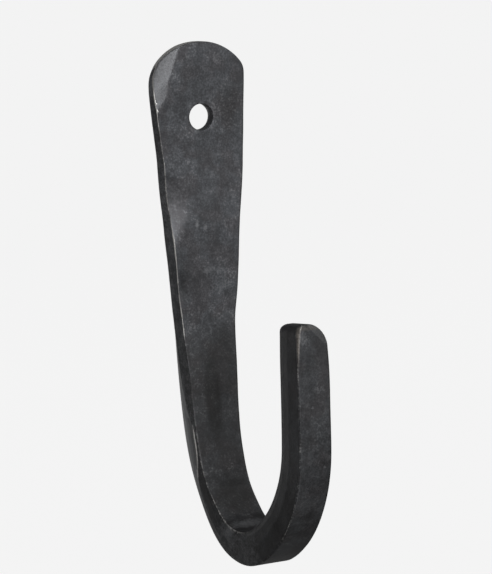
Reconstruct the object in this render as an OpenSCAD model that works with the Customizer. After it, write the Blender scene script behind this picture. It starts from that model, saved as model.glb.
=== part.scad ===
// Hand-forged wall hook, in millimetres.
// One length of square bar: the top is spread into a thin plate with a screw hole, the
// shank thickens below it, and the lower end is drawn square and bent up into a J.
// The wall is the plane Y = 0 and the hook stands out towards -Y. Z is up, and the origin
// is the centre of the screw hole on the wall. "Along" is measured down the back of the
// bar from the screw hole, so it is negative above the hole.

/* [Wall plate] */
// Height of the rounded top above the screw hole
plate_top = 20; // [18:0.5:24]
// How much the radius of the rounded top is more than half the plate's width
top_ease = 2.4; // [1.4:0.1:5]
// How far the middle of the rounded top stands to the right of the screw hole
top_shift = 0.4; // [0:0.1:1]
// How far the plate strays to the left above the screw hole
top_sway = 0.4; // [0:0.05:0.6]
// How far the plate strays to the right below the screw hole
low_sway = 0.25; // [0:0.05:0.6]
// How much wider the plate is at its widest, above the screw hole
top_flare = 1.2; // [0:0.1:2]
// Width of the plate across the screw hole
plate_w = 26.4; // [22:0.2:28]
// Thickness of the plate round the screw hole
plate_t = 3.2; // [2.6:0.1:4.4]
// Distance below the screw hole at which the plate has run into the shank
plate_l = 30; // [24:1:36]
// Diameter of the screw hole
hole_d = 7; // [4:0.1:9]
// Swell of the right edge below the plate
swell = 0.5; // [0:0.1:1]
// Length of back that lies flat on the wall below the screw hole
flat_l = 61; // [50:1:90]

/* [Shank] */
// Width at the neck, near the end of the flat back
neck_w = 16.4; // [14:0.2:20]
// Thickness at the neck
neck_t = 5.2; // [4.4:0.1:7]
// Width at the waist, where the shank has begun to lean out
waist_w = 13.8; // [11:0.2:16]
// Thickness at the waist
waist_t = 7.1; // [5.5:0.1:9]

/* [Hook bend] */
// Back radius of the slow lean out from the wall
lean_r = 126; // [100:2:180]
// Turn of the lean, in degrees
lean_a = 10.5; // [8:0.5:14]
// Back radius of the curve into the bottom
drop_r = 48; // [40:1:65]
// Turn of that curve, in degrees
drop_a = 34.5; // [30:0.5:40]
// Back radius of the bottom of the hook
bottom_r = 21.5; // [19:0.5:30]
// Turn of the bottom, in degrees
bottom_a = 73; // [67:1:79]
// Back radius of the rise to the tip
rise_r = 37; // [32:1:48]
// Turn of the rise, in degrees
rise_a = 61; // [54:1:66]
// Back radius of the upturned end
tip_r = 268; // [200:2:400]
// Turn of the upturned end, in degrees
tip_a = 7; // [3:0.5:9]

/* [Bar] */
// Width of the bar at the start of the bottom bend
heel_w = 13.2; // [10:0.2:15]
// Thickness of the bar at the start of the bottom bend
heel_t = 7.2; // [5.5:0.1:9]
// Width of the bar where the rise starts
toe_w = 11; // [8.5:0.1:12]
// Thickness of the bar where the rise starts
toe_t = 9.3; // [7:0.1:10.5]
// Width of the upturned end
bar_w = 9.4; // [8:0.1:11]
// Thickness of the upturned end
bar_t = 9.9; // [7:0.1:10.5]

/* [Tip] */
// Height of the rounded corner on the right of the tip
right_round = 4.7; // [2:0.1:5]
// Width of that corner
right_in = 5.6; // [2:0.1:6]
// Height of the rounded corner on the left of the tip
left_round = 2.4; // [1:0.1:4]
// Width of that corner
left_in = 2.2; // [1:0.1:2.8]
// Height of the rounding over the outer and inner faces of the tip
face_round = 1.6; // [0.8:0.1:2.4]
// What that rounding takes off the outer face
outer_in = 1; // [0.4:0.1:2]
// What it takes off the inner face
inner_in = 1.8; // [0.4:0.1:2.4]
// Broken edge at the outer left of the tip, which fades out down the bar
corner_cut = 1.3; // [0.6:0.1:2]
// Narrowing of the upturned end towards its tip
tip_taper = 0.9; // [0:0.1:1.5]
// Thinning of the upturned end towards its tip
tip_thin = 0.5; // [0:0.1:1]

/* [Edges] */
// Thinning of the bar where it curves into the bottom
drop_thin = 1; // [0:0.1:1.6]
// Broken edge along the bar
edge = 0.6; // [0.3:0.1:1]
// Broken edge round the plate's rim
rim = 0.45; // [0.2:0.05:0.9]
// Broken edge on the back right of the bend
under_edge = 1.2; // [0.6:0.1:2]
// Thickness that the long bevel on the back left edge of the bend takes
heel_bevel = 3; // [1:0.1:4]
// Thickness that the long bevel on the inner left edge of the upturned end takes
tip_bevel = 4.4; // [1:0.1:5]

/* [Hammer work] */
// Slope of the flat struck into the upper left of the rounded top, in degrees
crown_a = 30; // [14:1:36]
// Slope of the flat struck into the rim below it, in degrees
rim_flat_a = 24; // [14:1:34]
// Radius along the bar of the flats on the rim
rim_flat_r = 200; // [80:10:400]
// Slope of the round flat on the rim to the left of the screw hole, in degrees
cheek_a = 14; // [6:1:20]
// Radius along the bar of that flat
cheek_r = 24; // [18:1:60]
// Slope of the flats on the front left edge below the plate, in degrees
side_flat_a = 11; // [3:0.5:14]
// Radius along the bar of the flats on the front left edge
side_flat_r = 44; // [30:2:120]
// Slope of the flat on the outer right corner of the tip, in degrees
tip_flat_a = 30; // [10:1:40]
// Distance of that flat's middle below the tip
tip_flat_h = 3.9; // [2:0.1:5]
// Thickness left at the rim where a flat runs out
rim_t = 0.8; // [0.5:0.1:1.6]

/* [Hidden] */

// Spacing of the sections along the bar
ring_step = 1.8;
// Spans across the back and the front, and through each side
across_n = 8;
side_n = 4;
// Width of bar below which the broken edges narrow with it
slim_w = 8;
// How far the cutter for the screw hole stands out of the plate
over = 1;
// Radius of the rounded top, the height of its centre, and the height to which the sides run
// straight below it
plate_r = plate_w / 2 + top_ease;
top_level = plate_top - plate_r;
side_fall = 0.17;
straight_top = top_level + sqrt(pow(plate_r, 2) - pow(plate_w / 2 + top_ease * 0.55, 2));

// Each bend is [length along the back, turn in degrees]
function bend(r, a) = [r * a * PI / 180, a];
bends = [
    [flat_l, 0],
    bend(lean_r, lean_a),
    bend(drop_r, drop_a),
    bend(bottom_r, bottom_a),
    bend(rise_r, rise_a),
    bend(tip_r, tip_a),
];

// Distance along the back to the start of bend i
function start_of(i) = i == 0 ? 0 : start_of(i - 1) + bends[i - 1][0];
waist_at = start_of(2);
heel_at = start_of(3);
toe_at = start_of(4);
end_at = start_of(5);
bar_end = start_of(6);
neck_at = flat_l - (flat_l - plate_l) / 5;

// Back of the bar at a distance along it, as [y, z, lean]
function follow(s, i = 0, at = [0, 0, 0]) =
    let (l = bends[i][0])
    s <= l || i == len(bends) - 1
        ? advance(at, s, bends[i][1] * s / l)
        : follow(s - l, i + 1, advance(at, l, bends[i][1]));
function advance(at, l, turn) =
    let (chord = abs(turn) < 0.001 ? l : l * sin(turn / 2) / (turn * PI / 360), mid = at[2] + turn / 2)
    [at[0] - chord * sin(mid), at[1] - chord * cos(mid), at[2] + turn];

// Smooth curve through a table of [distance along, value]
function rise(table, i) = (table[i + 1][1] - table[i][1]) / (table[i + 1][0] - table[i][0]);
function slope(table, i) =
    i == 0 ? rise(table, 0)
    : i == len(table) - 1 ? rise(table, i - 1)
    : rise(table, i - 1) * rise(table, i) <= 0 ? 0
    : (rise(table, i - 1) + rise(table, i)) / 2;
function through(table, s, i = 0) =
    s > table[i + 1][0] && i < len(table) - 2
        ? through(table, s, i + 1)
        : let (
            span = table[i + 1][0] - table[i][0],
            u = (s - table[i][0]) / span,
            fall = pow(1 - u, 2),
            climb = pow(u, 2)
        )
        fall * (1 + 2 * u) * table[i][1] + fall * u * span * slope(table, i)
            + climb * (3 - 2 * u) * table[i + 1][1] - climb * (1 - u) * span * slope(table, i + 1);

// Width and thickness of the bar at its stations
widths = [
    [-plate_top, plate_w + top_flare],
    [-plate_top * 0.4, plate_w + top_flare * 0.9],
    [0, plate_w],
    [plate_l * 0.65, plate_w - side_fall * plate_l * 0.65],
    [plate_l, neck_w + side_fall * (neck_at - plate_l)],
    [neck_at, neck_w],
    [waist_at, waist_w],
    [lerp(waist_at, heel_at, 0.45), lerp(waist_w, heel_w, 0.65)],
    [heel_at, heel_w],
    [toe_at, toe_w],
    [end_at, bar_w],
    [lerp(end_at, bar_end, 0.6), bar_w],
    [bar_end, bar_w - tip_taper],
];
thicknesses = [
    [-plate_top, plate_t],
    [plate_l * 0.2, plate_t],
    [plate_l * 0.6, lerp(plate_t, neck_t, 0.35)],
    [plate_l, lerp(plate_t, neck_t, 0.8)],
    [neck_at, neck_t],
    [lerp(flat_l, waist_at, 0.5), waist_t],
    [waist_at, waist_t],
    [lerp(waist_at, heel_at, 0.6), heel_t - drop_thin],
    [heel_at, heel_t],
    [toe_at, toe_t],
    [end_at, bar_t],
    [bar_end, bar_t - tip_thin],
];
// Swell of the right edge
swells = [
    [-plate_top, 0],
    [plate_l, 0],
    [lerp(plate_l, neck_at, 0.65), swell],
    [neck_at, 0],
    [bar_end, 0],
];
// Middle line of the bar, to the right of the screw hole
middles = [
    [-plate_top, -top_sway],
    [-plate_top * 0.4, -top_sway],
    [plate_l * 0.45, low_sway],
    [plate_l, 0],
    [bar_end, 0],
];
// Long bevels and broken edges, as what they take off their edge
heel_bevels = [
    [-plate_top, edge],
    [lerp(flat_l, waist_at, 0.5), edge],
    [lerp(waist_at, heel_at, 0.6), heel_bevel],
    [lerp(heel_at, toe_at, 0.55), heel_bevel],
    [toe_at, edge],
    [lerp(end_at, bar_end, 0.6), edge],
    [bar_end, corner_cut],
];
heel_widths = [
    [-plate_top, edge],
    [lerp(end_at, bar_end, 0.6), edge],
    [bar_end, corner_cut],
];
under_edges = [
    [-plate_top, edge],
    [waist_at, edge],
    [heel_at, under_edge],
    [toe_at, under_edge],
    [end_at, edge],
    [bar_end, edge],
];
tip_bevels = [
    [-plate_top, edge],
    [lerp(waist_at, heel_at, 0.5), edge],
    [toe_at, tip_bevel],
    [bar_end, tip_bevel],
];

// Reach of the bar to one side (-1 left, 1 right), which ends in the rounded top
function reach(s, side) =
    let (
        swollen = side > 0 ? through(swells, s) : 0,
        straight = through(widths, s) / 2 + swollen + side * through(middles, s)
    )
    s > -straight_top ? straight
    : min(straight, side * top_shift + sqrt(max(0, pow(plate_r, 2) - pow(s + top_level, 2))));

// Depth that the broken rim takes off a face of the plate
function rim_drop(x, s) =
    s > -top_level ? 0
    : max(0, rim - plate_r + norm([x - top_shift, s + top_level]));

// Flats struck into the front, each [across, along, the heading in which it falls, its slope,
// its radius along the bar]. A heading of 180 falls to the left and 90 up the bar.
front_flats = [
    [-plate_w * 0.27, -plate_top * 0.755, 136, crown_a, rim_flat_r],
    [-plate_w * 0.37, -plate_top * 0.5, 153, rim_flat_a, rim_flat_r],
    [-plate_w * 0.37, -plate_top * 0.4, 180, cheek_a, cheek_r],
    [-plate_w * 0.205, plate_l * 0.86, 167, side_flat_a, side_flat_r],
    [-neck_w * 0.32, plate_l * 1.5, 180, side_flat_a, side_flat_r],
];
function fall(flat, x, s) =
    tan(flat[3]) * ((x - flat[0]) * cos(flat[2]) + (flat[1] - s) * sin(flat[2]))
        - pow(s - flat[1], 2) / (2 * flat[4]);

// Height of the flat on the outer right corner of the tip over the back of the bar
function tip_cut(x, s) =
    tan(tip_flat_a) * ((x - bar_w * 0.21) * cos(45) + (s - bar_end + tip_flat_h) * sin(45));

// Thickness of the bar at a point of its front, where the flats thin it
function thick(x, s) =
    let (whole = through(thicknesses, s))
    max(rim_t, whole - max([0, for (flat = front_flats) fall(flat, x, s)]));

// How far a side of the bar has drawn in where the tip is rounded over a height and a width
function drawn_in(s, high, wide) =
    wide * (1 - sqrt(1 - pow(max(0, 1 - (bar_end - s) / high), 2)));

// Closed section of the straight bar, as points [across, thickness, along]
function section(s) =
    let (
        left = -reach(s, -1) + drawn_in(s, left_round, left_in),
        right = reach(s, 1) - drawn_in(s, right_round, right_in),
        soft = min(1, (right - left) / slim_w),
        outer = drawn_in(s, face_round, outer_in),
        inner = drawn_in(s, face_round, inner_in),
        left_t = thick(left, s) - inner,
        right_t = thick(right, s) - inner,
        back_left = through(heel_bevels, s),
        back_right = through(under_edges, s),
        front_left = min(through(tip_bevels, s), left_t * 0.45),
        front_right = edge
    )
    concat(
        [
            for (i = [0:across_n])
            let (x = lerp(left + soft * through(heel_widths, s), right - soft * back_right, i / across_n))
            [x, max(rim_drop(x, s) + outer, tip_cut(x, s)), s]
        ],
        [
            for (i = [0:side_n])
            let (
                near = max(outer + min(back_right, right_t * 0.3), tip_cut(right, s)),
                far = right_t - min(front_right, right_t * 0.3)
            )
            [right, lerp(near, far, i / side_n), s]
        ],
        [
            for (i = [0:across_n])
            let (x = lerp(right - soft * front_right, left + soft * edge, i / across_n))
            [x, max(thick(x, s) - inner - rim_drop(x, s), rim_t), s]
        ],
        [
            for (i = [0:side_n])
            let (near = outer + min(back_left, left_t * 0.45), far = left_t - front_left)
            [left, lerp(far, near, i / side_n), s]
        ]
    );
function lerp(a, b, u) = a + (b - a) * u;

// Place of a point of the straight bar once the bar is bent
function bent(p) =
    let (
        s = p[2],
        at = s < 0 ? [0, -s, 0] : follow(s)
    )
    [p[0], at[0] - p[1] * cos(at[2]), at[1] + p[1] * sin(at[2])];

// Distances along the bar at which the sections stand, closer where its ends are rounded
top_n = 9;
apex_a = 84;
top_a = asin((straight_top - top_level) / plate_r);
straight_n = ceil((bar_end - right_round + straight_top) / ring_step);
tip_n = 9;
places = concat(
    [for (i = [0:top_n - 1]) -top_level - plate_r * sin(lerp(apex_a, top_a, i / top_n))],
    [for (i = [0:straight_n - 1]) lerp(-straight_top, bar_end - right_round, i / straight_n)],
    [for (i = [0:tip_n]) bar_end - right_round * (1 - sin(90 * i / tip_n))]
);

module forged_bar() {
    rings = [for (s = places) [for (p = section(s)) bent(p)]];
    count = len(rings[0]);
    last = len(rings) - 1;
    walls = [
        for (r = [0:last - 1], i = [0:count - 1])
            let (a = r * count + i, b = r * count + (i + 1) % count)
            each [[a, a + count, b], [b, a + count, b + count]]
    ];
    top_centre = (last + 1) * count;
    tip_centre = top_centre + 1;
    ends = [
        for (i = [0:count - 1])
            let (j = (i + 1) % count)
            each [[i, j, top_centre], [last * count + j, last * count + i, tip_centre]]
    ];
    centres = [for (ring = [rings[0], rings[last]]) sum(ring) / count];
    polyhedron(points = concat([for (ring = rings) each ring], centres), faces = concat(walls, ends));
}
function sum(list, i = 0) = i == len(list) - 1 ? list[i] : list[i] + sum(list, i + 1);

module screw_hole() {
    rotate([90, 0, 0])
        translate([0, 0, -over])
            cylinder(d = hole_d, h = plate_t + 2 * over, $fn = 48);
}

module hook() {
    color("#43474d")
        difference() {
            forged_bar();
            screw_hole();
        }
}

hook();
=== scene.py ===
import math
import random
import bpy
import bmesh
from mathutils import Matrix, Vector, noise


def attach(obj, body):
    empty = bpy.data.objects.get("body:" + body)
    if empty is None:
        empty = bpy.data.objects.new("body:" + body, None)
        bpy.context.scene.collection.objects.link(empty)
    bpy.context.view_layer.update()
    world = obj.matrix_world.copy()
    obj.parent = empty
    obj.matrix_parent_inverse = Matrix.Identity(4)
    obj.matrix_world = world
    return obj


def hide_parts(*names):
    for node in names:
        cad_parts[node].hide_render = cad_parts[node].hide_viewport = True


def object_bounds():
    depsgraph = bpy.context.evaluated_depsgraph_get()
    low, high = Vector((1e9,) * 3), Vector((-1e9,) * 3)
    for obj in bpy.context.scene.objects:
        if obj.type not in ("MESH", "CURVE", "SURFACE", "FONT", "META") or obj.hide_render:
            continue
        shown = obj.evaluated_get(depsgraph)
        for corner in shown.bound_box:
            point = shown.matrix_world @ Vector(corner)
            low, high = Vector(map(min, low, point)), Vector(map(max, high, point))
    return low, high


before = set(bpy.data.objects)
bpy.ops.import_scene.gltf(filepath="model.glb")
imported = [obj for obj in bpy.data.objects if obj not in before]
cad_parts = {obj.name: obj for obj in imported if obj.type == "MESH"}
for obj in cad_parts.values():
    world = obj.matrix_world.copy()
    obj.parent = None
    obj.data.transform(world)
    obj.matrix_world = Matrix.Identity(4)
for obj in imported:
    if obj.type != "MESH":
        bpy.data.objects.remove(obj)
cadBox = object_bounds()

mm = 0.001
print("frame loaded, the hook is", [round((b - a) / mm, 1) for a, b in zip(*cadBox)], "mm")


def mix(a, b, u):
    return a + (b - a) * u


def clamp(value, low=0.0, high=1.0):
    return max(low, min(high, value))


def ramp(value, start, end):  # 0 before start, 1 after end, smooth between
    u = clamp((value - start) / (end - start))
    return u * u * (3 - 2 * u)


def hump(value, start, full, fade, end):  # rises from start to full, falls from fade to end
    return ramp(value, start, full) * (1 - ramp(value, fade, end))


# The bar is worked straight first: across is x, outwards is -y, down the bar is -z.
bar = {
    "plateTop": 20, "topRadius": 15.6, "topShift": 0.4, "shoulder": 1,  # rounded top, mm
    "topFlare": 1.2, "topSway": 0.4, "lowSway": 0.25, "plateWide": 26.4, "plateThick": 3.2,
    "plateLong": 30, "sideFall": 0.17, "swell": 0.5,
    "flatLong": 61, "neckWide": 16.4, "neckThick": 5.2, "waistWide": 13.8, "waistThick": 7.1,
    "bends": [(126, 10.5), (48, 34.5), (21.5, 73), (37, 61), (268, 7)],  # back radius, turn
    "heelWide": 13.2, "heelThick": 7.2, "dropThin": 1, "toeWide": 11, "toeThick": 9.3,
    "barWide": 9.4, "barThick": 9.9, "tipTaper": 0.9, "tipThin": 0.5,
    "rightRound": 4.7, "rightIn": 5.6, "leftRound": 2.4, "leftIn": 2.2,  # corners of the tip
    "faceRound": 1.6, "outerIn": 1, "innerIn": 1.8, "cornerCut": 1.3,
    "edge": 0.5, "fineEdge": 0.28, "rim": 0.3, "underEdge": 1.2, "rimThick": 0.8,
    "flatBevel": 1.4, "waistBevel": 6, "heelBevel": 3, "toeBevel": 2, "tipBevel": 4.4,  # left corners
}


def arcLong(radius, turn):
    return radius * math.radians(turn)


stations = [0, bar["flatLong"]]
for bendRadius, bendTurn in bar["bends"]:
    stations.append(stations[-1] + arcLong(bendRadius, bendTurn))
waistAt, heelAt, toeAt, endAt, barEnd = stations[2:]
neckAt = mix(bar["flatLong"], bar["plateLong"], 0.2)
topLevel = bar["plateTop"] - bar["topRadius"]
topEase = bar["topRadius"] - bar["plateWide"] / 2
straightTop = topLevel + math.sqrt(bar["topRadius"] ** 2 - (bar["plateWide"] / 2 + 0.55 * topEase) ** 2)


def through(table, s):  # smooth curve through (distance, value) pairs, with no overshoot
    rises = [(b[1] - a[1]) / (b[0] - a[0]) for a, b in zip(table, table[1:])]
    slopes = [rises[0]] + [0 if p * q <= 0 else (p + q) / 2 for p, q in zip(rises, rises[1:])] + [rises[-1]]
    i = 0
    while i < len(table) - 2 and s > table[i + 1][0]:
        i += 1
    span = table[i + 1][0] - table[i][0]
    u = (s - table[i][0]) / span
    fall, climb = (1 - u) ** 2, u * u
    return (fall * (1 + 2 * u) * table[i][1] + fall * u * span * slopes[i]
            + climb * (3 - 2 * u) * table[i + 1][1] - climb * (1 - u) * span * slopes[i + 1])


widths = [
    (-bar["plateTop"], bar["plateWide"] + bar["topFlare"]),
    (-0.4 * bar["plateTop"], bar["plateWide"] + 0.9 * bar["topFlare"]),
    (0, bar["plateWide"]),
    (0.65 * bar["plateLong"], bar["plateWide"] - 0.65 * bar["sideFall"] * bar["plateLong"]),
    (bar["plateLong"], bar["neckWide"] + bar["sideFall"] * (neckAt - bar["plateLong"])),
    (neckAt, bar["neckWide"]),
    (waistAt, bar["waistWide"]),
    (mix(waistAt, heelAt, 0.45), mix(bar["waistWide"], bar["heelWide"], 0.65)),
    (heelAt, bar["heelWide"]),
    (toeAt, bar["toeWide"]),
    (endAt, bar["barWide"]),
    (mix(endAt, barEnd, 0.6), bar["barWide"]),
    (barEnd, bar["barWide"] - bar["tipTaper"]),
]
thicknesses = [
    (-bar["plateTop"], bar["plateThick"]),
    (0.2 * bar["plateLong"], bar["plateThick"]),
    (0.6 * bar["plateLong"], mix(bar["plateThick"], bar["neckThick"], 0.35)),
    (bar["plateLong"], mix(bar["plateThick"], bar["neckThick"], 0.8)),
    (neckAt, bar["neckThick"]),
    (mix(bar["flatLong"], waistAt, 0.5), bar["waistThick"]),
    (waistAt, bar["waistThick"]),
    (mix(waistAt, heelAt, 0.6), bar["heelThick"] - bar["dropThin"]),
    (heelAt, bar["heelThick"]),
    (toeAt, bar["toeThick"]),
    (endAt, bar["barThick"]),
    (barEnd, bar["barThick"] - bar["tipThin"]),
]
swells = [
    (-bar["plateTop"], 0), (bar["plateLong"], 0),
    (mix(bar["plateLong"], neckAt, 0.65), bar["swell"]), (neckAt, 0), (barEnd, 0),
]
middles = [
    (-bar["plateTop"], -bar["topSway"]), (-0.4 * bar["plateTop"], -bar["topSway"]),
    (0.45 * bar["plateLong"], bar["lowSway"]), (bar["plateLong"], 0), (barEnd, 0),
]
heelBevels = [
    (-bar["plateTop"], bar["edge"]), (0.3 * bar["flatLong"], bar["edge"]),
    (bar["flatLong"], bar["flatBevel"]), (mix(bar["flatLong"], waistAt, 0.6), bar["heelBevel"]),
    (mix(waistAt, heelAt, 0.06), bar["waistBevel"]), (mix(waistAt, heelAt, 0.3), 0.9 * bar["waistBevel"]),
    (mix(waistAt, heelAt, 0.55), 0.9 * bar["heelBevel"]), (heelAt, 0.8 * bar["heelBevel"]),
    (mix(heelAt, toeAt, 0.55), bar["toeBevel"]),
    (toeAt, bar["edge"]), (mix(endAt, barEnd, 0.6), bar["edge"]), (barEnd, bar["cornerCut"]),
]
heelWidths = [
    (-bar["plateTop"], bar["edge"]), (mix(endAt, barEnd, 0.6), bar["edge"]), (barEnd, bar["cornerCut"]),
]
underEdges = [
    (-bar["plateTop"], bar["edge"]), (waistAt, bar["edge"]), (heelAt, bar["underEdge"]),
    (toeAt, bar["underEdge"]), (endAt, bar["edge"]), (barEnd, bar["edge"]),
]
leftEdges = [
    (-bar["plateTop"], bar["fineEdge"]), (bar["flatLong"], bar["fineEdge"]),
    (waistAt, bar["edge"]), (barEnd, bar["edge"]),
]
tipBevels = [
    (-bar["plateTop"], bar["fineEdge"]), (bar["flatLong"], bar["fineEdge"]),
    (mix(waistAt, heelAt, 0.5), bar["edge"]),
    (toeAt, bar["tipBevel"]), (barEnd, bar["tipBevel"]),
]

# The left side leans: how far its back corner stands out, and how far its front corner stands in.
backOut = [
    (-bar["plateTop"], 0.3), (-19, 0.7), (-15, 0.6), (-11, 0.15), (8, 0.12), (20, 0.3), (60, 0.38),
    (90, 0.38), (108, 0), (barEnd, 0),
]
frontIn = [
    (-bar["plateTop"], -0.5), (-18.5, -0.7), (-15, -0.5), (-12, 0.1), (-8, 0.5), (0, 0.4), (6, 0.3),
    (15, 0.42), (24, 0.36), (38, 0), (barEnd, 0),
]

# Flats struck into the front, each with its place, the way it falls and its slope.
hammer = {
    "seed": 11,
    "rimFlats": [  # across, along, heading, slope, belly of the hammer face along the bar
        (-7.7, -15.5, 152, 28, 200), (-9.8, -10, 153, 21, 200), (-9.8, -8, 180, 11, 24),
    ],
    "sideFlats": [(-5.4, 25.8, 167, 11, 44), (-5.2, 45, 180, 6, 44)],
    "tipFlat": (2, 3.9, 45, 30),  # across, below the tip, heading, slope
    "melt": 0.14, "rimSoft": 0.04, "sideSoft": 0.25,  # how softly flats meet and run out into the face
    "waver": 0.09, "waverLong": 11,  # how far the edges stray, and over what length
    "heave": 0.05, "heaveLong": 9,  # slow rise and fall of every face
    "dents": 150, "dentDeep": (0.03, 0.09), "dentBelly": (90, 190),  # planishing marks
}


def wander(s, lane):
    return hammer["waver"] * noise.noise(Vector((s / hammer["waverLong"], lane * 7.3, 0.5)))


def drawnIn(s, high, wide):  # rounding of the tip's corners
    return wide * (1 - math.sqrt(1 - max(0, 1 - (barEnd - s) / high) ** 2))


def reach(s, side):
    swollen = through(swells, s) if side > 0 else 0
    straight = through(widths, s) / 2 + swollen + side * through(middles, s) + wander(s, side)
    if s > -topLevel:
        return straight
    arc = side * bar["topShift"] + math.sqrt(max(0, bar["topRadius"] ** 2 - (s + topLevel) ** 2))
    near = max(0, 1 - abs(straight - arc) / bar["shoulder"])  # the sides turn softly into the arc
    return min(straight, arc) - bar["shoulder"] * near ** 2 / 4 * ramp(-s - topLevel, 0, 2)


def flatFall(x, s, flats):  # how deep the flats are here, below zero outside them
    total = 0
    for atX, atS, heading, slope, belly in flats:
        way = math.radians(heading)
        run = (x - atX) * math.cos(way) + (atS - s) * math.sin(way)
        depth = math.tan(math.radians(slope)) * run - (s - atS) ** 2 / (2 * belly)
        total += math.exp(max(-40, depth / hammer["melt"]))
    return hammer["melt"] * math.log(total)


def runOut(depth, soft):
    if depth > soft:
        return depth
    return max(0, depth + soft) ** 2 / (4 * soft)


def tipCut(x, s):
    atX, below, heading, slope = hammer["tipFlat"]
    way = math.radians(heading)
    run = (x - atX) * math.cos(way) + (s - barEnd + below) * math.sin(way)
    return math.tan(math.radians(slope)) * run


def edgeDrop(d, wide, deep, roundness):  # what a broken edge takes off at a distance from it
    if d >= wide:
        return 0
    t = clamp(d / wide)
    return deep * mix(1 - t, 1 - math.sqrt(1 - (1 - t) ** 2), roundness)


edging = {
    "crisp": (0.8, 1.6),  # a bevel goes from rounded to flat between these depths
    "tipShare": 0.45, "heelShare": 0.84, "thinShare": 0.3,  # the most an edge takes of the thickness
    "rightRound": 0.8, "underRound": 0.5,  # 0 is a flat bevel, 1 a quarter round
}


class Section:  # one cross section of the straight bar
    def __init__(self, s):
        self.s = s
        self.left = -reach(s, -1) + drawnIn(s, bar["leftRound"], bar["leftIn"])
        self.right = reach(s, 1) - drawnIn(s, bar["rightRound"], bar["rightIn"])
        self.soft = min(1, (self.right - self.left) / 8)
        self.whole = through(thicknesses, s)
        self.outer = drawnIn(s, bar["faceRound"], bar["outerIn"])
        self.inner = drawnIn(s, bar["faceRound"], bar["innerIn"])
        self.heel = through(heelBevels, s)
        self.under = through(underEdges, s)
        self.heelWide = through(heelWidths, s)
        self.leftEdge = through(leftEdges, s)
        self.tipBevel = min(through(tipBevels, s), self.thick(self.left) * edging["tipShare"])

    def thick(self, x):
        struck = max(
            runOut(flatFall(x, self.s, hammer["rimFlats"]), hammer["rimSoft"]),
            runOut(flatFall(x, self.s, hammer["sideFlats"]), hammer["sideSoft"]),
        )
        return max(bar["rimThick"], self.whole - struck) - self.inner

    def fromRim(self, x):
        if self.s > -topLevel:
            return bar["plateWide"]
        return bar["topRadius"] - math.hypot(x - bar["topShift"], self.s + topLevel)

    def front(self, x):
        rightDeep = min(bar["edge"], self.thick(self.right) * edging["thinShare"])
        drop = max(
            edgeDrop(x - self.left, self.leftEdge * self.soft, self.tipBevel, self.rounded(self.tipBevel)),
            edgeDrop(self.right - x, bar["edge"] * self.soft, rightDeep, edging["rightRound"]),
            edgeDrop(self.fromRim(x), bar["rim"], bar["rim"], 1),
        )
        return self.thick(x) - drop

    def back(self, x):
        thin = min(1, self.thick(x) * edging["thinShare"])
        underDeep = min(self.under, thin * 2)
        heelDeep = min(self.heel, self.thick(self.left) * edging["heelShare"])
        drop = max(
            edgeDrop(x - self.left, self.soft * self.heelWide, heelDeep, self.rounded(self.heel)),
            edgeDrop(self.right - x, self.soft * self.under, underDeep, edging["underRound"]),
            edgeDrop(self.fromRim(x), bar["rim"], min(bar["rim"], thin), 1),
        )
        return max(self.outer + drop, tipCut(x, self.s))

    def rounded(self, bevel):
        return 1 - ramp(bevel, *edging["crisp"])


mesh = {
    "across": 60, "through": 12, "edgeSpans": 4,  # spans over the front, the side and one edge
    "topRings": 40, "alongStep": 0.42, "tipRings": 14, "apexTurn": 88,
}
topTurn = math.degrees(math.asin((straightTop - topLevel) / bar["topRadius"]))
straightRings = math.ceil((barEnd - bar["rightRound"] + straightTop) / mesh["alongStep"])
topTurns = [mix(mesh["apexTurn"], topTurn, i / mesh["topRings"]) for i in range(mesh["topRings"])]
places = [-topLevel - bar["topRadius"] * math.sin(math.radians(turn)) for turn in topTurns]
places += [mix(-straightTop, barEnd - bar["rightRound"], i / straightRings) for i in range(straightRings)]
places += [barEnd - bar["rightRound"] * (1 - math.sin(math.pi / 2 * i / mesh["tipRings"]))
           for i in range(mesh["tipRings"] + 1)]


def blank():  # a square block, cut into spans across, through and along
    bm = bmesh.new()
    bmesh.ops.create_cube(bm, size=1)
    for axis, spans in enumerate((mesh["across"], mesh["through"], len(places) - 1)):
        run = [e for e in bm.edges if abs(e.verts[0].co[axis] - e.verts[1].co[axis]) > 0.5]
        bmesh.ops.subdivide_edges(bm, edges=run, cuts=spans - 1, use_grid_fill=True)
    return bm


def acrossAt(section, i, wide):  # where span line i stands: close together over a broken edge
    k = mesh["edgeSpans"]
    n = mesh["across"]
    leftWide, rightWide = wide
    if i <= k:
        return section.left + leftWide * (1 - math.cos(math.pi / 2 * i / k))
    if i >= n - k:
        return section.right - rightWide * (1 - math.cos(math.pi / 2 * (n - i) / k))
    return mix(section.left + leftWide, section.right - rightWide, (i - k) / (n - 2 * k))


def drawOut(bm):  # the block takes the bar's width and thickness all the way down
    sections = [Section(s) for s in places]
    for v in bm.verts:
        u, depth, w = v.co
        i = round((u + 0.5) * mesh["across"])
        j = round((0.5 - depth) * mesh["through"])
        section = sections[round((0.5 - w) * (len(places) - 1))]
        frontX = acrossAt(section, i, (section.soft * section.leftEdge, section.soft * bar["edge"]))
        backX = acrossAt(section, i, (section.soft * section.heelWide, section.soft * section.under))
        share = j / mesh["through"]
        lean = mix(-through(backOut, section.s), through(frontIn, section.s), share)
        x = mix(backX, frontX, share) + lean * (1 - i / mesh["across"]) ** 2
        v.co = (x, -mix(section.back(backX), section.front(frontX), share), -section.s)


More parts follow.
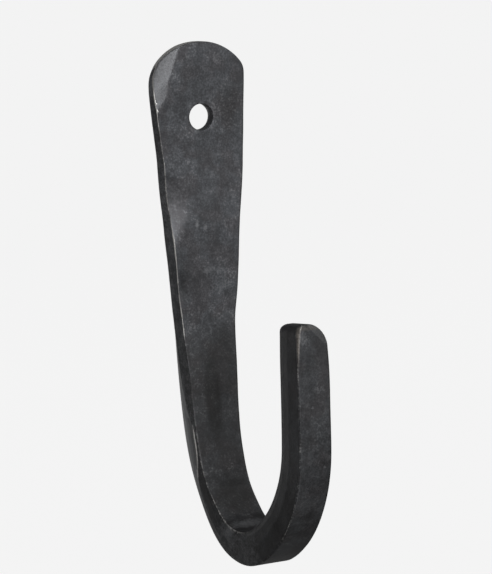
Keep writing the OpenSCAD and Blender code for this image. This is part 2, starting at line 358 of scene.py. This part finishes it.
def planish(bm):  # shallow round marks of the hammer's crowned face, and a slow heave
    rng = random.Random(hammer["seed"])
    bm.normal_update()
    marks = []
    for _ in range(hammer["dents"]):
        s = rng.uniform(-bar["plateTop"], barEnd)
        section = Section(s)
        x = rng.uniform(section.left, section.right)
        side = rng.choice(("front", "back", "left", "right"))
        n = section.whole / 2
        spot = {
            "front": Vector((x, -section.thick(x), -s)), "back": Vector((x, 0, -s)),
            "left": Vector((section.left, -n, -s)), "right": Vector((section.right, -n, -s)),
        }[side]
        facing = {"front": Vector((0, -1, 0)), "back": Vector((0, 1, 0)),
                  "left": Vector((-1, 0, 0)), "right": Vector((1, 0, 0))}[side]
        marks.append((spot, facing, rng.uniform(*hammer["dentDeep"]), rng.uniform(*hammer["dentBelly"])))
    marks.sort(key=lambda mark: mark[0].z)
    moved = []
    for v in bm.verts:
        sunk = 0
        for spot, facing, deep, belly in marks:
            if abs(spot.z - v.co.z) > 6 or v.normal.dot(facing) < 0.8:
                continue
            away = v.co - spot
            off = away - facing * away.dot(facing)
            sunk = max(sunk, deep - off.length_squared / (2 * belly))
        heave = hammer["heave"] * noise.noise(v.co / hammer["heaveLong"])
        moved.append((v, v.normal * (heave - sunk)))
    for v, shift in moved:
        v.co += shift


hole = {"across": 7, "flare": 0.25, "around": 96, "over": 1}


def punchHole(piece):  # a straight hole with a trace of softness at each face
    half = hole["across"] / 2
    startWide = half + hole["over"] + hole["flare"]
    bm = bmesh.new()
    bmesh.ops.create_circle(bm, cap_ends=True, radius=startWide, segments=hole["around"])
    levels = [  # height above the wall, radius
        (hole["flare"] - bar["edge"], half + hole["flare"]),
        (hole["flare"], half),
        (bar["plateThick"] - hole["flare"], half),
        (bar["plateThick"] + hole["flare"], half + 2 * hole["flare"]),
    ]
    bmesh.ops.translate(bm, verts=bm.verts, vec=(0, 0, -hole["over"]))
    cap = bm.faces[:]
    for height, radius in levels + [(bar["plateThick"] + hole["over"], half + hole["over"])]:
        raised = bmesh.ops.extrude_face_region(bm, geom=cap)["geom"]
        if height > levels[0][0]:
            bmesh.ops.delete(bm, geom=cap, context="FACES_ONLY")
        ring = [g for g in raised if isinstance(g, bmesh.types.BMVert)]
        cap = [g for g in raised if isinstance(g, bmesh.types.BMFace)]
        scale = radius / ring[0].co.xy.length
        for v in ring:
            v.co = (v.co.x * scale, v.co.y * scale, height)
    bmesh.ops.recalc_face_normals(bm, faces=bm.faces)
    bmesh.ops.rotate(bm, verts=bm.verts, cent=(0, 0, 0), matrix=Matrix.Rotation(math.pi / 2, 3, "X"))
    cutterMesh = bpy.data.meshes.new("holeCutter")
    bm.to_mesh(cutterMesh)
    bm.free()
    cutter = bpy.data.objects.new("holeCutter", cutterMesh)
    bpy.context.scene.collection.objects.link(cutter)
    cut = piece.modifiers.new("hole", "BOOLEAN")
    cut.operation, cut.solver, cut.object = "DIFFERENCE", "EXACT", cutter
    holed = bpy.data.meshes.new_from_object(piece.evaluated_get(bpy.context.evaluated_depsgraph_get()))
    piece.modifiers.clear()
    piece.data = holed
    bpy.data.objects.remove(cutter)


wearAndPaintedLight = {
    "sharp": (0.5, 1.6),  # turn per mm at which an edge starts to rub bare, and is bare
    "frontLeft": [  # distance along, share of wear
        (-20, 0.6), (-16, 1.3), (-8, 1.5), (-1, 1.3), (3, 0.6), (20, 0.6), (26, 0.8), (33, 1.2), (50, 1.2),
        (57, 0.8), (62, 0.2), (73, 0.2), (75, 0.5), (78, 0.3), (84, 0.5), (100, 0.5), (125, 0.6),
        (140, 0.3), (212, 0.25),
    ],
    "backLeft": [
        (-20, 0.2), (30, 0.25), (60, 0.3), (70, 0.35), (84, 0.5), (100, 0.5), (112, 0.3), (130, 0.3),
        (150, 0.45), (180, 0.5), (196, 0.5), (203, 0.55), (212, 0.5),
    ],
    "right": 0.15, "hole": 0.5, "edgeZone": (0.8, 1.5),  # rubbing fades this far in from the side
    "ridge": [(-20, 0), (80, 0), (86, 0.75), (97, 0.75), (102, 0), (212, 0)],  # line between bevel and side
    "ridgeNear": 0.3, "rimRub": 0.85, "rimNear": 0.8, "rimAbove": (12, 15),  # rim at the upper left
    "chafeFrom": 201, "chafeFull": 207,  # worn corner of the tip
    "tipFlatReach": 12, "tipFlatShare": 0.3,  # the tip's flat is painted lighter too, but less: partly bare struck finish, partly painted highlight
    "cant": 0.06,  # how far a face turns before it counts as a bevel
    "paintedFlankLight": {  # painted reflection and shade: lighter or darker along the faces of the left side, by which way each face turns
        "side": [
            (-20, 1), (-15, 1), (-12, 0.5), (0, 0.36), (10, 0.4), (30, 0.4), (45, 0.42), (60, 0.42),
            (84, 0.4), (92, 0.25), (112, 0.3), (125, 0.38), (140, 0.36), (149, -0.4), (162, -0.5),
            (175, -0.1), (212, -0.1),
        ],
        "backBevel": [
            (-20, 0.9), (-15, 0.8), (-12, 0.45), (60, 0.45), (75, 0.15), (90, 0.3), (118, 0.4), (140, 0.38),
            (160, 0), (212, 0),
        ],
        "frontBevel": [
            (-20, 0.2), (30, 0.4), (60, 0.4), (84, 0.4), (92, 0.25), (112, 0.3), (125, 0.38), (140, 0.3),
            (149, -0.4), (170, -0.4), (212, -0.5),
        ],
    },
    "lightDarkSpots": [  # on the front?, across, along, radius across, radius along, lighter or darker; the long lighter spot on the back-left chamfer is a painted reflection and the darker one on the upper-left bevel is painted shade, the rest are lighter or darker tone
        (True, 5.8, -14.3, 4, 3.5, 0.4), (True, 5.1, 43.5, 3, 6, 0.35), (True, -2.8, 28.5, 0.6, 1.5, 0.9),
        (True, -0.4, 29.2, 0.6, 1.1, 0.8), (True, 0.2, 41, 2.6, 1.3, 0.5), (True, -8, 12, 3, 6, 0.25),
        (True, -12, -10.5, 3, 4, -0.3), (True, -0.8, 76, 2.2, 11, -1.6), (True, 1.7, 102.5, 3, 0.9, -1.5),
        (True, 1.6, 115, 0.5, 0.5, 0.8), (True, 0, 121, 6, 4, 0.8), (True, 9, -3, 5, 9, -0.8),
        (True, 4.5, 60, 4, 6, -0.8), (True, 0, 108, 7, 6, -1), (True, -7.4, 45, 2, 7, -0.8),
        (False, -6.9, 86, 1.6, 13, 1), (False, -5.6, 158, 1.6, 11, -1), (False, -2.6, 209, 1.6, 2, 0.6),
        (False, 0.8, 196, 1.8, 1.1, 0.4), (False, -0.8, 191.5, 0.5, 0.5, 0.8),
        (False, 1.3, 185, 2.4, 3.5, 0.25), (False, 2.7, 176, 0.5, 0.5, 0.6), (False, 0.4, 162, 2, 2, -1),
    ],
}
masks = ("worn", "rimFlat", "sideFlat", "chafed", "smudge", "along")  # what each point of the hook carries


def curvature(v):  # how sharply the surface turns out at a point, per mm
    total = 0
    for e in v.link_edges:
        total += 2 * v.normal.dot(v.co - e.other_vert(v).co) / max(e.calc_length() ** 2, 1e-4)
    return total / len(v.link_edges)


def chafing(section, x, n, s):  # rubbed corner and brow of the tip, strongest at the very end
    if s < wearAndPaintedLight["chafeFrom"] or n > section.whole * 0.4:
        return 0
    across = (x - section.left) / section.heelWide
    corner = (1 - ramp(across + n / section.heel, 1.05, 1.5)) * hump(across, 0, 0.3, 0.6, 1.1)
    brow = 0.4 * hump(barEnd - s, 0.1, 0.5, 1.1, 1.9) * ramp(across, 0, 0.8)
    return max(corner * ramp(s, wearAndPaintedLight["chafeFrom"], wearAndPaintedLight["chafeFull"]) * ramp(barEnd - s, 0.3, 1.2), brow)


def rubbing(section, v, x, n, s, isFront):  # bare metal on the edges
    share = wearAndPaintedLight["right"] if x > 0 else through(wearAndPaintedLight["frontLeft" if isFront else "backLeft"], s)
    inwards = min(x - section.left, section.right - x)
    if math.hypot(x, s) < hole["across"]:
        share = wearAndPaintedLight["hole"] if isFront else 0
        inwards = 0
    worn = ramp(curvature(v), *wearAndPaintedLight["sharp"]) * share * (1 - ramp(inwards, *wearAndPaintedLight["edgeZone"]))
    if v.normal.x < -0.6 and abs(n - section.heel) < wearAndPaintedLight["ridgeNear"]:
        worn = max(worn, through(wearAndPaintedLight["ridge"], s))
    if x < 0 and section.fromRim(x) < wearAndPaintedLight["rimNear"] and v.normal.y > -0.5:
        worn = max(worn, wearAndPaintedLight["rimRub"] * ramp(-s, *wearAndPaintedLight["rimAbove"]))
    return worn


def paintLightAndSpots(v, x, s, isFront):  # painted reflection and shade on the left side's faces, and the lighter or darker spots: lighter above zero, darker below
    total = 0
    # painted reflection and shade on the left side's side face and bevels
    if v.normal.x < -0.3:
        lane = "side"
        if abs(v.normal.y) > wearAndPaintedLight["cant"]:
            lane = "frontBevel" if v.normal.y < 0 else "backBevel"
        total = through(wearAndPaintedLight["paintedFlankLight"][lane], s)
    for onFront, atX, atS, wideX, wideS, strength in wearAndPaintedLight["lightDarkSpots"]:
        if onFront == isFront and abs(s - atS) < 2 * wideS:
            total += strength * math.exp(-((x - atX) / wideX) ** 2 - ((s - atS) / wideS) ** 2)
    return total


def wearAndPaintedLightMap(bm):  # where edges are rubbed bare, where the struck flats are painted lighter as bare finish and painted highlight, and where the faces get painted reflection and shade and lighter or darker spots
    bm.normal_update()
    worn, rimFlat, sideFlat, chafed, smudge, along = (bm.verts.layers.float.new(name) for name in masks)
    sections = {}
    for v in bm.verts:
        x, n, s = v.co.x, -v.co.y, -v.co.z
        key = round(s, 1)
        if key not in sections:
            sections[key] = Section(key)
        section = sections[key]
        isFront = n > section.thick(x) / 2
        facesOut = v.normal.y < -0.3
        v[worn] = rubbing(section, v, x, n, s, isFront)
        # the flats' depths mark where they are painted lighter, partly bare struck finish, partly painted
        # highlight
        v[rimFlat] = flatFall(x, s, hammer["rimFlats"]) if facesOut else -1
        v[sideFlat] = flatFall(x, s, hammer["sideFlats"][:1]) if facesOut else -1
        # the tip's flat is painted lighter as well, partly bare finish, partly painted highlight
        if s > barEnd - wearAndPaintedLight["tipFlatReach"] and v.normal.y > 0.3:
            v[rimFlat] = (tipCut(x, s) - section.outer) * wearAndPaintedLight["tipFlatShare"]
        v[chafed] = chafing(section, x, n, s)
        v[smudge] = paintLightAndSpots(v, x, s, isFront)
        v[along] = s


def bend(bm):  # the straight bar is bent along its back, arc after arc
    starts = [(0.0, -bar["flatLong"], 0.0)]
    for radius, turn in bar["bends"]:
        starts.append(follow(starts[-1], arcLong(radius, turn), radius))
    for v in bm.verts:
        x, y, z = v.co
        s = -z
        if s <= bar["flatLong"]:
            continue
        i = max(k for k in range(len(bar["bends"])) if stations[k + 1] <= s or k == 0)
        backY, backZ, lean = follow(starts[i], s - stations[i + 1], bar["bends"][i][0])
        v.co = (x, backY + y * math.cos(lean), backZ - y * math.sin(lean))


def follow(start, length, radius):
    y, z, lean = start
    turned = lean + length / radius
    y -= radius * (math.cos(lean) - math.cos(turned))
    z -= radius * (math.sin(turned) - math.sin(lean))
    return y, z, turned


def forgeHook():
    bm = blank()
    drawOut(bm)
    planish(bm)
    data = bpy.data.meshes.new("forged_hook")
    bm.to_mesh(data)
    bm.free()
    piece = bpy.data.objects.new("forged_hook", data)
    bpy.context.scene.collection.objects.link(piece)
    print("bar drawn out and planished,", len(data.vertices), "points")
    punchHole(piece)
    bm = bmesh.new()
    bm.from_mesh(piece.data)
    bmesh.ops.remove_doubles(bm, verts=bm.verts, dist=0.001)
    wearAndPaintedLightMap(bm)
    bend(bm)
    bmesh.ops.recalc_face_normals(bm, faces=bm.faces)
    bmesh.ops.scale(bm, verts=bm.verts, vec=(mm, mm, mm))
    for face in bm.faces:
        face.smooth = True
    bm.to_mesh(piece.data)
    bm.free()
    print("hole punched, bar bent,", len(piece.data.polygons), "faces")
    return piece


class Value:  # a socket that can be added to, taken from and multiplied
    def __init__(self, nodes, socket):
        self.nodes, self.socket = nodes, socket

    def maths(self, operation, a, b):
        return self.nodes.add("ShaderNodeMath", {"operation": operation}, {0: a, 1: b})

    def __add__(self, other):
        return self.maths("ADD", self, other)

    def __sub__(self, other):
        return self.maths("SUBTRACT", self, other)

    def __mul__(self, other):
        return self.maths("MULTIPLY", self, other)

    def __rsub__(self, other):
        return self.maths("SUBTRACT", other, self)

    __radd__ = __add__


class Nodes:
    def __init__(self, name):
        self.material = bpy.data.materials.new(name)
        self.material.use_nodes = True
        self.tree = self.material.node_tree
        self.tree.nodes.clear()

    def add(self, kind, settings=None, inputs=None, out=0):
        node = self.tree.nodes.new(kind)
        for key, value in (settings or {}).items():
            if key == "stops":
                while len(node.color_ramp.elements) < len(value):
                    node.color_ramp.elements.new(1)
                for element, (position, colour) in zip(node.color_ramp.elements, value):
                    element.position, element.color = position, colour
            else:
                setattr(node, key, value)
        for key, value in (inputs or {}).items():
            if isinstance(value, Value):
                self.tree.links.new(value.socket, node.inputs[key])
            else:
                node.inputs[key].default_value = value
        return Value(self, node.outputs[out]) if node.outputs else node

    def step(self, value, low, high, outLow=0.0, outHigh=1.0):  # smooth change between two levels
        return self.add("ShaderNodeMapRange", {"interpolation_type": "SMOOTHSTEP"}, {
            "Value": value, "From Min": low, "From Max": high, "To Min": outLow, "To Max": outHigh,
        })

    def blend(self, factor, a, b, how="MIX"):
        settings = {"data_type": "RGBA", "blend_type": how}
        return self.add("ShaderNodeMix", settings, {0: factor, 6: a, 7: b}, 2)

    def grain(self, where, size, detail, roughness):  # size in metres
        return self.add("ShaderNodeTexNoise", {}, {
            "Vector": where, "Scale": 1 / size, "Detail": detail, "Roughness": roughness,
        })


iron = {
    "dark": (0.017, 0.0175, 0.019, 1), "grey": (0.060, 0.063, 0.069, 1), "warm": (0.054, 0.053, 0.057, 1),
    # struck: the flats' lighter colour, partly bare finish where the hammer knocked the scale off, partly
    # painted highlight
    "pale": (0.15, 0.153, 0.16, 1), "struck": (0.09, 0.093, 0.097, 1), "brown": (0.12, 0.108, 0.097, 1),
    "darkening": (0.46, 0.45, 0.435, 1), "bright": (0.48, 0.47, 0.45, 1), "roughness": 0.46, "metallic": 0.7,
    "cloud": 0.009, "tint": 0.006, "mottle": 0.0019, "stipple": 0.00055, "pits": 0.0004,  # grain, metres
    "bumpStrength": 0.5, "bumpDeep": 0.00012,
}


def blackenedIron():
    n = Nodes("blackened_iron")
    where = n.add("ShaderNodeTexCoord", out="Object")
    worn, rimFlat, sideFlat, chafed, smudge, along = (
        n.add("ShaderNodeAttribute", {"attribute_name": name}, out="Fac") for name in masks
    )
    cloud = n.grain(where, iron["cloud"], 4, 0.55)
    tint = n.grain(where, iron["tint"], 3, 0.5)
    mottle = n.grain(where, iron["mottle"], 4, 0.6)
    stipple = n.grain(where, iron["stipple"], 3, 0.65)
    pits = n.grain(where, iron["pits"], 2, 0.5)

    colour = n.blend(n.step(tint, 0.42, 0.6), iron["grey"], iron["warm"])
    tone = n.step(cloud * 0.3 + mottle * 0.32 + stipple * 0.38, 0.38, 0.6, 0.25, 1)
    colour = n.blend(tone, iron["dark"], colour)
    flecks = n.step(stipple * 0.6 + mottle * 0.4, 0.52, 0.66) * n.step(cloud, 0.44, 0.6, 0.15, 1)
    colour = n.blend(flecks * n.step(along, 150, 178, 0.7, 0.3), colour, iron["pale"])
    # struck flats painted lighter, partly bare finish where the hammer knocked the scale off, partly
    # painted highlight where they would catch the lamps
    struck = n.step(rimFlat + (mottle - 0.5) * 0.12, -0.015, 0.06)
    struck = struck + n.step(sideFlat + (mottle - 0.5) * 1.2, -0.1, 0.7) * 0.3
    speckle = n.step(pits * 0.6 + stipple * 0.4, 0.38, 0.58, 0.15, 0.6)
    colour = n.blend(struck * speckle, colour, iron["struck"])
    # darker down the bar from below the plate, a little less towards the tip
    darkerDownBar = n.step(along, 46, 68) * n.step(along, 150, 185, 0.9, 0.65)
    colour = n.blend(darkerDownBar, colour, iron["darkening"], "MULTIPLY")
    # painted reflection and shade on the left side, and the lighter or darker spots, lighter above zero and
    # darker below
    lighter = n.step(smudge + (stipple - 0.5) * 0.9 + (mottle - 0.5) * 0.6, 0.15, 0.9)
    colour = n.blend(lighter * 0.6, colour, iron["pale"])
    darker = n.step(0 - smudge + (mottle - 0.5) * 0.5, 0.1, 0.9)
    colour = n.blend(darker * 0.8, colour, iron["darkening"], "MULTIPLY")
    chafe = chafed * n.step(stipple * 0.5 + mottle * 0.5, 0.36, 0.6, 0.35, 0.95)
    colour = n.blend(chafe, colour, iron["brown"])
    rub = n.step(worn + (stipple - 0.5) * 0.9 + (mottle - 0.5) * 0.6, 0.22, 0.9)
    colour = n.blend(rub * 0.7, colour, iron["bright"])

    rough = iron["roughness"] + (mottle - 0.5) * 0.2 + (stipple - 0.5) * 0.25 - rub * 0.08
    height = mottle * 0.4 + stipple * 0.4 + pits * 0.3
    bump = n.add("ShaderNodeBump", {}, {
        "Strength": iron["bumpStrength"], "Distance": iron["bumpDeep"], "Height": height,
    })
    shader = n.add("ShaderNodeBsdfPrincipled", {}, {
        "Base Color": colour, "Roughness": rough, "Metallic": iron["metallic"], "Normal": bump,
    })
    n.add("ShaderNodeOutputMaterial", {}, {"Surface": shader})
    return n.material


hook = forgeHook()
hook.data.materials.clear()
hook.data.materials.append(blackenedIron())
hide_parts("hook")
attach(hook, "root")
print("hook finished")

studio = {
    "floorDrop": 0.07, "floorWide": 6.0, "wallBehind": 2.2, "wallHigh": 3.0, "sweep": 0.9,
    "floorColour": (0.02, 0.02, 0.02, 1), "floorGlow": 0.89, "world": 0.18,
    "lights": [  # name, azimuth, elevation, distance, size, watts
        ("key", -8, 16, 1.1, 0.55, 8.5), ("top", -35, 62, 1.2, 0.8, 4.5), ("fill", 38, 5, 1.3, 0.9, 3),
        ("right", 75, 38, 1.2, 0.9, 4.5), ("behind", 182, -9, 0.7, 0.36, 0.22),
        ("low", 5, -48, 1.2, 1.0, 4), ("left", -100, -12, 1.4, 1.0, 2.4),
    ],
    "aim": (0.0, -0.025, -0.045),
}


def paleFloor():
    bm = bmesh.new()
    half = studio["floorWide"] / 2
    floorZ = cadBox[0].z - studio["floorDrop"]
    outline = ((-half, -half), (half, -half), (half, studio["wallBehind"]), (-half, studio["wallBehind"]))
    corners = [bm.verts.new((x, y, floorZ)) for x, y in outline]
    floorFace = bm.faces.new(corners)
    rear = [e for e in floorFace.edges if all(v.co.y > 0 for v in e.verts)]
    wall = bmesh.ops.extrude_edge_only(bm, edges=rear)["geom"]
    wallTop = [g for g in wall if isinstance(g, bmesh.types.BMVert)]
    bmesh.ops.translate(bm, verts=wallTop, vec=(0, 0, studio["wallHigh"]))
    bmesh.ops.bevel(bm, geom=rear, offset=studio["sweep"], offset_type="OFFSET", affect="EDGES",
                    segments=24, profile=0.5, material=-1)
    for face in bm.faces:
        face.smooth = True
    data = bpy.data.meshes.new("pale_floor")
    bm.to_mesh(data)
    bm.free()
    floor = bpy.data.objects.new("pale_floor", data)
    bpy.context.scene.collection.objects.link(floor)
    n = Nodes("pale_paper")
    shader = n.add("ShaderNodeBsdfPrincipled", {}, {
        "Base Color": studio["floorColour"], "Roughness": 1.0, "Specular IOR Level": 0.0,
        "Emission Color": (1, 1, 1, 1), "Emission Strength": studio["floorGlow"],
    })
    n.add("ShaderNodeOutputMaterial", {}, {"Surface": shader})
    data.materials.append(n.material)
    floor.visible_glossy = False
    floor.visible_diffuse = False
    floor.visible_shadow = False


def softLights():
    aim = Vector(studio["aim"])
    for name, azimuth, elevation, distance, size, watts in studio["lights"]:
        a, e = math.radians(azimuth), math.radians(elevation)
        towards = Vector((math.sin(a) * math.cos(e), -math.cos(a) * math.cos(e), math.sin(e)))
        data = bpy.data.lights.new(name, "AREA")
        data.shape, data.size, data.energy = "DISK", size, watts
        lamp = bpy.data.objects.new(name, data)
        lamp.visible_camera = False
        lamp.location = aim + towards * distance
        lamp.rotation_mode = "QUATERNION"
        lamp.rotation_quaternion = towards.to_track_quat("Z", "Y")
        bpy.context.scene.collection.objects.link(lamp)
    world = bpy.data.worlds.new("studio")
    world.use_nodes = True
    world.node_tree.nodes["Background"].inputs["Color"].default_value = (1, 1, 1, 1)
    world.node_tree.nodes["Background"].inputs["Strength"].default_value = studio["world"]
    bpy.context.scene.world = world


camera = {
    "azimuth": 29, "elevation": 8.5, "roll": -1.11, "distance": 0.6, "focal": 2244,  # focal in pixels
    "frame": (492, 574), "holeAt": (195.3, 116.3), "nudge": -0.14 * mm, "sensor": 36,
}


def placeCamera():
    a, e, roll = (math.radians(camera[k]) for k in ("azimuth", "elevation", "roll"))
    forward = Vector((math.sin(a) * math.cos(e), math.cos(a) * math.cos(e), -math.sin(e)))
    level = Vector((math.cos(a), -math.sin(a), 0))
    upright = level.cross(forward)
    right = level * math.cos(roll) + upright * math.sin(roll)
    up = upright * math.cos(roll) - level * math.sin(roll)
    wide, high = camera["frame"]
    overX = (camera["holeAt"][0] - wide / 2) / camera["focal"]
    overY = (camera["holeAt"][1] - high / 2) / camera["focal"]
    spot = -camera["distance"] * (forward + overX * right - overY * up) + Vector((camera["nudge"], 0, 0))
    data = bpy.data.cameras.new("camera")
    data.sensor_width = camera["sensor"]
    data.lens = camera["focal"] * camera["sensor"] / max(wide, high)
    data.clip_start, data.clip_end = 0.01, 50
    viewer = bpy.data.objects.new("camera", data)
    viewer.matrix_world = Matrix((
        (right.x, up.x, -forward.x, spot.x), (right.y, up.y, -forward.y, spot.y),
        (right.z, up.z, -forward.z, spot.z), (0, 0, 0, 1),
    ))
    bpy.context.scene.collection.objects.link(viewer)
    bpy.context.scene.camera = viewer


paleFloor()
softLights()
placeCamera()
bpy.context.scene.view_settings.view_transform = "Standard"
print("studio set")
